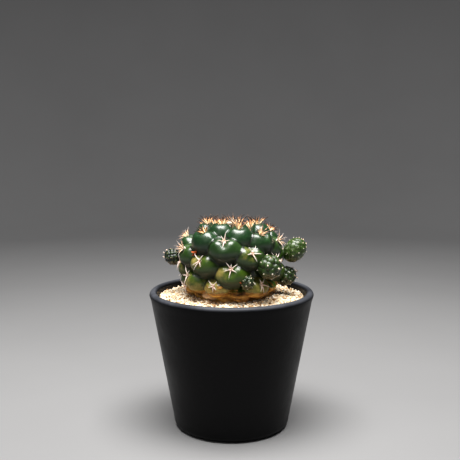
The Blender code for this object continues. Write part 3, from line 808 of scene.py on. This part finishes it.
def cork_points():
    """The wrinkled neck under the lowest tubercles."""
    rings = 40
    steps = 160
    bottom = GRAVEL_LOW.z + 0.6 * MM
    top = POT_HEIGHT + CORK_TOP
    points = []
    for ring in range(rings + 1):
        share = ring / rings
        height = bottom + (top - bottom) * share
        for step in range(steps):
            turn = math.tau * step / steps
            place = Vector((math.cos(turn) * 1.5, math.sin(turn) * 1.5, 0.0))
            wave = share * CORK_FOLDS * math.tau * 2 + 2.5 * noise.noise(place)
            fold = math.sin(wave) * 0.45 * MM + noise.noise(place * 3 + Vector((0, 0, share * 6))) * 0.9 * MM
            lean = CORK_RADIUS - 2.5 * MM * (1 - share) ** 2 + 1.2 * MM * noise.noise(place * 1.3)
            radius = lean + fold
            points.append((radius * math.cos(turn), radius * math.sin(turn), height))
    faces = []
    for ring in range(rings):
        for step in range(steps):
            after = (step + 1) % steps
            low, high = ring * steps, (ring + 1) * steps
            faces.append((low + step, low + after, high + after, high + step))
    faces.append(tuple(reversed(range(steps))))
    faces.append(tuple(range(rings * steps, (rings + 1) * steps)))
    return np.array(points), faces


def core_points():
    profile = [(0.01 * MM, body_point(0.0, CORE_INSET)[1])]
    profile += [body_point(math.pi * CORE_LOWEST_TURN * step / 24, CORE_INSET) for step in range(1, 25)]
    profile += [(0.01 * MM, profile[-1][1])]
    return lathe(profile, 96, closed=False)


def make_stem(places):
    """The tubercles, the core and the corky neck grown into one skin, and that skin for others to rest on."""
    unit, unit_faces = ball(5)
    pile = Pile()
    for index, (place, turn, share) in enumerate(places):
        middle, halves = tubercle_middle(place, turn, share)
        points = (unit * tubercle_swell(unit, index) * halves) @ turn.T + middle
        pile.add(points, unit_faces)
    points, faces = core_points()
    pile.add(points, [face[::-1] for face in faces])
    points, faces = cork_points()
    pile.add(points, faces)
    pile.add(unit * LUMP_HALVES + LUMP_PLACE, unit_faces)
    rough = pile.piece("stem_shells", [])
    remesh = rough.modifiers.new("One skin", "REMESH")
    remesh.mode = "VOXEL"
    remesh.voxel_size = STEM_VOXEL
    settle = rough.modifiers.new("Settled", "SMOOTH")
    settle.factor = 0.5
    settle.iterations = 3
    bpy.context.view_layer.update()
    mesh = bpy.data.meshes.new_from_object(rough.evaluated_get(bpy.context.evaluated_depsgraph_get()))
    bpy.data.objects.remove(rough)
    keep_largest_skin(mesh)
    mesh.name = "stem_skin"
    colour_stem(mesh, places)
    mesh.materials.clear()
    mesh.materials.append(skin_look())
    mesh.shade_smooth()
    stem = bpy.data.objects.new("stem_body", mesh)
    bpy.context.scene.collection.objects.link(stem)
    bpy.context.view_layer.update()
    tree = BVHTree.FromObject(stem, bpy.context.evaluated_depsgraph_get())
    stands_for(stem, "stem_skin", "stem")
    return tree


def keep_largest_skin(mesh):
    """Deletes the pockets that fusing leaves between shells."""
    shape = bmesh.new()
    shape.from_mesh(mesh)
    unseen = set(shape.faces)
    skins = []
    while unseen:
        skin = set()
        edge_of_skin = {unseen.pop()}
        while edge_of_skin:
            skin |= edge_of_skin
            sides = {side for face in edge_of_skin for side in face.edges}
            edge_of_skin = {face for side in sides for face in side.link_faces} & unseen
            unseen -= edge_of_skin
        skins.append(skin)
    outer_skin = max(skins, key=len)
    pockets = [face for face in shape.faces if face not in outer_skin]
    bmesh.ops.delete(shape, geom=pockets, context="FACES")
    shape.to_mesh(mesh)
    shape.free()


# The tubercles with yellowed skin: where on the tubercle (east and up, as shares), how wide and how strong.
YELLOWED = {
    26: (-0.5, 0.3, 0.75, 0.5),
    31: (-0.7, 0.35, 0.55, 0.65),
    23: (-0.45, 0.5, 0.8, 0.3),
    39: (0.0, -0.1, 1.6, 0.75),
    34: (-0.1, -0.6, 1.2, 0.7),
    36: (0.0, 0.0, 1.6, 0.5),
    29: (-0.4, 0.0, 1.2, 0.5),
}


def colour_stem(mesh, places):
    """Sets what the skin's material reads: age, yellowing, painted shade in the grooves between tubercles and on the
    undersides, and cork at the base.
    """
    count = len(mesh.vertices)
    points = np.zeros(count * 3)
    mesh.vertices.foreach_get("co", points)
    points = points.reshape(-1, 3)
    nearest = np.full(count, 9.0)
    second = np.full(count, 9.0)
    old = np.zeros(count)
    yellow = np.zeros(count)
    for index, (place, turn, share) in enumerate(places):
        middle, halves = tubercle_middle(place, turn, share)
        local = (points - middle) @ turn / halves
        apart = np.linalg.norm(local, axis=1)
        closer = apart < nearest
        second = np.where(closer, nearest, np.minimum(second, apart))
        spot_east, spot_up, spot_width, spot_strength = YELLOWED.get(index, (0.0, -0.9, 0.7, 0.0))
        spot_strength = max(spot_strength, 0.3 * smooth(index, 24, 44))
        spot = np.hypot(local[:, 0] - spot_east, local[:, 1] - spot_up) / spot_width
        yellow = np.where(closer, spot_strength * np.exp(-(spot**2)), yellow)
        old = np.where(closer, index / TUBERCLES, old)
        nearest = np.minimum(nearest, apart)
    # Painted shade: how deep in the groove between two tubercles a point lies, for the material to darken.
    groove = 1 - smooth(second - nearest, 0.0, 0.16)
    facing = np.zeros(count * 3)
    mesh.vertices.foreach_get("normal", facing)
    # Painted shade on the downward-facing skin, weaker near the gravel where light comes from below.
    lit_from_below = smooth(points[:, 2], POT_HEIGHT + 12 * MM, POT_HEIGHT + 4 * MM)
    under = smooth(-facing[2::3], 0.0, 0.8) * (1 - 0.6 * lit_from_below)
    cork = 1 - smooth(points[:, 2], POT_HEIGHT + 1.5 * MM, POT_HEIGHT + 7 * MM)
    cork = np.maximum(cork, smooth(nearest, 1.02, 1.12) * (points[:, 2] < POT_HEIGHT + 9 * MM))
    lump = 1 - smooth(np.linalg.norm((points - LUMP_PLACE) / LUMP_HALVES, axis=1), 0.95, 1.25)
    masks = {"old": old, "yellow": yellow, "groove": groove, "cork": cork, "under": under, "lump": lump}
    for name, values in masks.items():
        mesh.attributes.new(name, "FLOAT", "POINT").data.foreach_set("value", values.astype(np.float32))


# ---- areoles, spines and wool


def add_fibres(pile, middle, facing, spread, length, count, brown, finish=1):
    """Fine wool fibres that curl out of a patch of felt."""
    for _ in range(count):
        start = middle + chance.normal(size=3) * spread * 0.5
        heading = facing + chance.normal(size=3) * 0.55
        heading /= np.linalg.norm(heading)
        own = length * chance.uniform(0.5, 1.1)
        lift = np.cross(heading, chance.normal(size=3))
        lift /= np.linalg.norm(lift)
        points, faces, _ = spine_shape(start, start + heading * own, lift, 0.055 * MM, sides=3, rings=4)
        pile.add(points, faces, finish=finish, brown=brown)


def surface_under(skin, place, facing):
    """Where the skin is met on the way in at this place, and its own direction there."""
    start = Vector(place + facing * 5 * MM)
    hit, normal, _, _ = skin.ray_cast(start, -Vector(facing), 14 * MM)
    if hit is None:
        hit, normal, _, _ = skin.find_nearest(Vector(place))
    return np.array(hit), np.array(normal)


def clear_tip(skin, start, radial, facing, length, elevation):
    """The end of a spine raised until it clears the skin."""
    while elevation < 84:
        slope = math.radians(elevation)
        tip = start + (radial * math.cos(slope) + facing * math.sin(slope)) * length
        clear = True
        for share in (0.45, 0.7, 1.0):
            sample = Vector(start + (tip - start) * share)
            near, normal, _, _ = skin.find_nearest(sample)
            if (sample - near).dot(normal) < 0.35 * MM:
                clear = False
        if clear:
            break
        elevation += 4
    if tip[2] > CAD_TOP:
        tip = start + (tip - start) * (CAD_TOP - start[2]) / (tip[2] - start[2])
    return tip


def make_areole(index, place, turn, skin, finishes):
    """A felted pad with a star of spines: five flat arms when old, a steep brush towards the crown."""
    place = place - turn[:, 1] * LOWERED.get(index, 0.0)
    young = math.exp(-index / GROWING_TUBERCLES)
    tilt = math.radians(STAR_TILT)
    facing = turn[:, 2] * math.cos(tilt) + turn[:, 1] * math.sin(tilt)
    hit, normal = surface_under(skin, place, facing)
    facing = facing * 0.85 + normal * 0.15
    facing /= np.linalg.norm(facing)
    right = np.cross(turn[:, 1], facing)
    right /= np.linalg.norm(right)
    above = np.cross(facing, right)
    frame_of = np.stack([right, above, facing], axis=1)
    middle = hit + facing * 0.45 * MM
    freshly = FRESH_SPINES.get(index, float(1 - smooth(index, 13, 23)))
    full_length = SPINE_LENGTH + (YOUNG_SPINE_LENGTH - SPINE_LENGTH) * freshly
    full_length += CROWN_SPINE_EXTRA * float(1 - smooth(index, 7, 11))
    full_radius = SPINE_RADIUS * (1 - 0.3 * freshly)
    taper = 0.8 - 0.35 * freshly
    pile = Pile()
    dome, dome_faces = ball(2)
    pad = dome * np.array([PAD_RADIUS * 0.95, PAD_RADIUS * 0.95, 0.75 * MM])
    pile.add(pad @ frame_of.T + middle, dome_faces, finish=1, brown=0.55 - 0.5 * freshly)
    add_fibres(pile, middle + facing * 0.2 * MM, facing, 0.9 * MM, 1.0 * MM, 26, 0.35 - 0.35 * freshly)
    elevation = SPINE_ELEVATION + (YOUNG_SPINE_ELEVATION - SPINE_ELEVATION) * max(young, 0.75 * freshly)
    arms = [(angle, length * MM) for angle, length in STARS.get(index, ())]
    if not arms:
        count = round(ARMS + (YOUNG_ARMS - ARMS) * freshly)
        twist = chance.uniform(-12, 12)
        for arm in range(count):
            angle = 270 + 360 * arm / count + twist + chance.uniform(-9, 9)
            arms.append((angle, full_length * chance.uniform(0.8, 1.15)))

    def add_spine(start, radial, own, slope, thick):
        tip = clear_tip(skin, start, radial, facing, own, slope)
        points, faces, along = spine_shape(start, tip, facing, thick, taper=taper)
        pile.add(points, faces, along=along, young=freshly)

    for angle, own in arms:
        turned = math.radians(angle)
        radial = right * math.cos(turned) + above * math.sin(turned)
        start = middle + radial * PAD_RADIUS * 0.35 + facing * 0.35 * MM
        add_spine(start, radial, own, elevation + chance.uniform(-4, 8), full_radius * chance.uniform(0.9, 1.15))
    for _ in range(5 if freshly > 0.4 else 1):
        turned = chance.uniform(0, math.tau)
        radial = right * math.cos(turned) + above * math.sin(turned)
        own = full_length * (chance.uniform(0.7, 1.05) if freshly > 0.4 else chance.uniform(0.35, 0.5))
        add_spine(middle, radial, own, chance.uniform(60, 82), full_radius * 0.85)
    piece = pile.piece(f"areole_{index:02d}", finishes)
    stands_for(piece, "spine_horn", f"spine_cluster_{index:02d}")


def make_crown_wool(places, skin, finishes):
    """White wool in the growing point and in the axils round it."""
    pile = Pile()
    dome, dome_faces = ball(3)
    low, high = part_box("crown_wool")
    middle = np.array((low + high) / 2)
    halves = np.array(high - low) / 2
    lumps = np.array([1 + 0.16 * noise.noise(Vector(point) * 3.0) for point in dome])
    pile.add(dome * lumps[:, None] * halves * np.array([0.9, 0.9, 0.45]) + middle, dome_faces, finish=1, brown=0.1)
    for _ in range(16):
        direction = chance.normal(size=3)
        direction[2] = abs(direction[2])
        direction /= np.linalg.norm(direction)
        start = middle + direction * halves * np.array([0.85, 0.85, 0.4])
        add_fibres(pile, start, direction, 1.2 * MM, 1.6 * MM, 18, 0.0)
    small_dome, small_faces = ball(2)
    bed = dome * lumps[:, None] * WOOL_BED_HALVES + np.array([0.0, 0.0, WOOL_BED_HEIGHT])
    pile.add(bed, dome_faces, finish=1, brown=0.7)
    for _ in range(110):
        turn, reach = chance.uniform(0, math.tau), WOOL_BED_HALVES[0] * math.sqrt(chance.uniform(0.02, 0.8))
        start = np.array([reach * math.cos(turn), reach * math.sin(turn), WOOL_BED_HEIGHT + WOOL_BED_HALVES[2] * 0.7])
        tuft = np.array([1.0, 1.0, 0.55]) * chance.uniform(0.9, 2.1) * MM
        pile.add(small_dome * tuft + start, small_faces, finish=1, brown=chance.uniform(0.35, 0.8))
        add_fibres(pile, start, np.array([0.0, 0.0, 1.0]), 1.6 * MM, 1.6 * MM, 12, chance.uniform(0.15, 0.6))
    for index in range(0, 13):
        place, turn, share = places[index]
        back = place + turn[:, 1] * AREOLE_RISE * share * 0.75
        hit, normal = surface_under(skin, back, turn[:, 2])
        pile.add(dome * 1.1 * MM * np.array([1.6, 1.0, 0.7]) @ turn.T + hit, dome_faces, finish=1, brown=0.0)
        add_fibres(pile, hit, normal, 2.0 * MM, 1.7 * MM, 44, 0.0)
    stands_for(pile.piece("crown_wool_tufts", finishes), "crown_felt", "crown_wool")


# ---- the offsets


def make_offset(name, finishes):
    """A small globe of knobs in a spiral, each knob tipped with a pale areole and a few short spines."""
    azimuth, raised, aged, *sizes = OFFSETS[name]
    height, standing, half_length, half_width = (size * MM for size in sizes)
    knob_pitch, knob_height, felt_size, spine_length = (size * MM for size in KNOBS[name])
    turn = math.radians(azimuth)
    outward = np.array([math.sin(turn), -math.cos(turn), 0.0])
    east = np.array([math.cos(turn), math.sin(turn), 0.0])
    slope = math.radians(raised)
    tip = outward * math.cos(slope) + np.array([0.0, 0.0, math.sin(slope)])
    side = np.cross(tip, east)
    frame_of = np.stack([east, side, tip], axis=1)
    middle = outward * (outline_radius(height) + standing)
    middle = middle + np.array([0.0, 0.0, POT_HEIGHT + BODY_MIDDLE + height])
    halves = np.array([half_width, half_width, half_length])

    area = 4 * math.pi * half_width * half_length
    knobs = int(area / (knob_pitch**2 * 0.87))
    turns = np.radians(GOLDEN_ANGLE) * np.arange(knobs)
    depth = 1 - 2 * (np.arange(knobs) + 0.5) / knobs
    ring = np.sqrt(1 - depth**2)
    knob_unit = np.stack([ring * np.cos(turns), ring * np.sin(turns), depth], axis=1)
    knob_places = knob_unit * halves

    unit, unit_faces = ball(6)
    base = unit * halves
    apart = np.linalg.norm(base[:, None, :] - knob_places[None, :, :], axis=2)
    order = np.partition(apart, 1, axis=1)
    near, next_near = order[:, 0], order[:, 1]
    reach = knob_pitch * 0.62
    rise = np.sqrt(np.clip(1 - (near / reach) ** 2, 0.0, 1.0))
    inset = knob_height
    shell = unit * (halves - inset) + unit * (rise * inset * 0.95)[:, None]
    points = shell @ frame_of.T + middle
    pile = Pile()
    # Painted shade: how deep between two knobs a point lies, for the material to darken.
    groove = 1 - smooth(next_near - near, 0.0, 0.5 * MM)
    up_facing = (unit @ frame_of.T)[:, 2]
    # The top value is a painted highlight on each knob's crest.
    pile.add(
        points,
        unit_faces,
        aged=aged,
        groove=groove * 0.85,
        top=smooth(rise, 0.8, 1.0) * 0.35,
        under=smooth(-up_facing, 0.35, 0.95) * 0.6,
    )
    dome, dome_faces = ball(1)
    browned = 0.8 * smooth(aged, 0.8, 1.0)
    for place, direction in zip(knob_places, knob_unit):
        if direction[2] < -0.55:
            continue
        outwards = direction / halves
        outwards /= np.linalg.norm(outwards)
        seat = (place - direction * 0.12 * MM) @ frame_of.T + middle
        facing = outwards @ frame_of.T
        size = felt_size * chance.uniform(0.5, 1.15) * (0.7 + 0.4 * smooth(direction[2], -0.2, 0.7))
        felt = dome * size * chance.uniform(0.75, 1.1, 3) + seat
        pile.add(felt, dome_faces, finish=2, brown=0.1 + browned)
        top = smooth(direction[2], 0.55, 0.95)
        add_fibres(pile, seat, facing, 0.45 * MM, 0.7 * MM, 7, 0.05 + browned, finish=2)
        for arm in range(int(5 * top)):
            radial = np.cross(facing, chance.normal(size=3))
            radial /= np.linalg.norm(radial)
            heading = radial * chance.uniform(0.5, 1.0) + facing * (0.55 + 0.8 * top)
            heading /= np.linalg.norm(heading)
            own = spine_length * chance.uniform(0.7, 1.1) * (0.4 + 0.6 * top)
            points, faces, along = spine_shape(seat, seat + heading * own, facing, 0.2 * MM, sides=4, rings=4)
            pile.add(points, faces, finish=1, along=along * 0.7, young=0.55 * (1 - aged))
    stands_for(pile.piece(name + "_globe", finishes), "offset_skin", name)


def make_dried_flower(name, azimuth, height, standing, size, skin, finish):
    """A small curled scrap of a dried flower, caught in an axil."""
    turn = math.radians(azimuth)
    outward = np.array([math.sin(turn), -math.cos(turn), 0.0])
    start = outward * (BODY_RADIUS + 20 * MM) + np.array([0, 0, POT_HEIGHT + BODY_MIDDLE + height])
    hit, normal, _, _ = skin.ray_cast(Vector(start), -Vector(outward))
    middle = np.array(hit) + outward * standing
    pile = Pile()
    unit, unit_faces = ball(3)
    for petal in range(5):
        lean = chance.normal(size=3) * 0.5 + outward
        lean /= np.linalg.norm(lean)
        across = np.cross(lean, chance.normal(size=3))
        across /= np.linalg.norm(across)
        thin = np.cross(lean, across)
        halves = size * np.array([0.45, 0.14, 1.0])
        curl = 1 + 0.25 * np.array([noise.noise(Vector(point) * 2.2 + Vector((petal * 5.0, 0, 0))) for point in unit])
        points = (unit * curl[:, None] * halves) @ np.stack([across, thin, lean], axis=1).T
        bow = across[None, :] * (points @ lean)[:, None] ** 2 / size * 0.4
        pile.add(points + bow + middle + chance.normal(size=3) * size * 0.25, unit_faces)
    stands_for(pile.piece(name, [finish]), "spine_horn")


# ---- the studio


def make_studio():
    profile = [(0.001, 0.0), (STUDIO_RADIUS - SWEEP_RADIUS, 0.0)]
    profile += arc((STUDIO_RADIUS - SWEEP_RADIUS, SWEEP_RADIUS), SWEEP_RADIUS, -90, 0, 16)
    profile += [(STUDIO_RADIUS, STUDIO_HEIGHT)]
    points, faces = lathe(profile, 96, closed=False)
    pile = Pile()
    pile.add(points, faces)
    floor = pile.piece("studio_floor", [studio_look()])


def make_light(name, place, aim, size, watts, colour=(1.0, 1.0, 1.0)):
    data = bpy.data.lights.new(name, "AREA")
    data.shape = "RECTANGLE"
    data.size, data.size_y = size
    data.energy = watts
    data.color = colour
    light = bpy.data.objects.new(name, data)
    light.location = place
    light.rotation_euler = (Vector(aim) - Vector(place)).to_track_quat("-Z", "Y").to_euler()
    bpy.context.scene.collection.objects.link(light)


def make_camera():
    data = bpy.data.cameras.new("camera")
    data.sensor_width = 36
    data.lens = CAMERA_LENS
    camera = bpy.data.objects.new("camera", data)
    camera.location = CAMERA_PLACE
    camera.rotation_euler = (math.radians(90 - CAMERA_TILT), 0.0, 0.0)
    bpy.context.scene.collection.objects.link(camera)
    bpy.context.scene.camera = camera


def make_world():
    world = bpy.data.worlds.new("studio_air")
    world.use_nodes = True
    air = world.node_tree.nodes["Background"]
    air.inputs["Color"].default_value = (0.80, 0.86, 1.0, 1.0)
    air.inputs["Strength"].default_value = 0.07
    bpy.context.scene.world = world
    bpy.context.scene.view_settings.view_transform = "Standard"


def main():
    make_camera()
    make_world()
    make_studio()
    make_light("key", (0.0, -0.11, 0.75), (0, 0, 0.1), (0.58, 0.4), 17.5, (1.0, 0.985, 0.96))
    make_light("fill", (-0.30, -0.80, 0.60), (0, 0, 0.1), (0.6, 0.6), 0.8, (1.0, 0.98, 0.95))

    make_pot()
    for node, finish in (
        ("drain_net", net_look()),
        ("drainage_layer", pumice_look()),
        ("potting_mix", mix_look()),
        ("taproot", root_look()),
    ):
        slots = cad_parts[node].data.materials
        slots.clear()
        slots.append(finish)

    places = spiral()
    skin = make_stem(places)
    make_gravel(skin)
    horn = spine_look()
    felt = felt_look()
    for index in range(FIRST_CLUSTER, LAST_CLUSTER + 1):
        if index not in BARE_TUBERCLES:
            place, turn, _ = places[index]
            make_areole(index, place, turn, skin, [horn, felt])
    make_crown_wool(places, skin, [horn, felt])
    green = offset_look()
    for name in OFFSETS:
        make_offset(name, [green, horn, felt])
    dried = dried_look()
    make_dried_flower("dried_flower_left", -43, 10.2 * MM, 0.5 * MM, 2.1 * MM, skin, dried)
    make_dried_flower("dried_flower_front", 8.5, -6.3 * MM, 0.3 * MM, 0.8 * MM, skin, dried)


main()
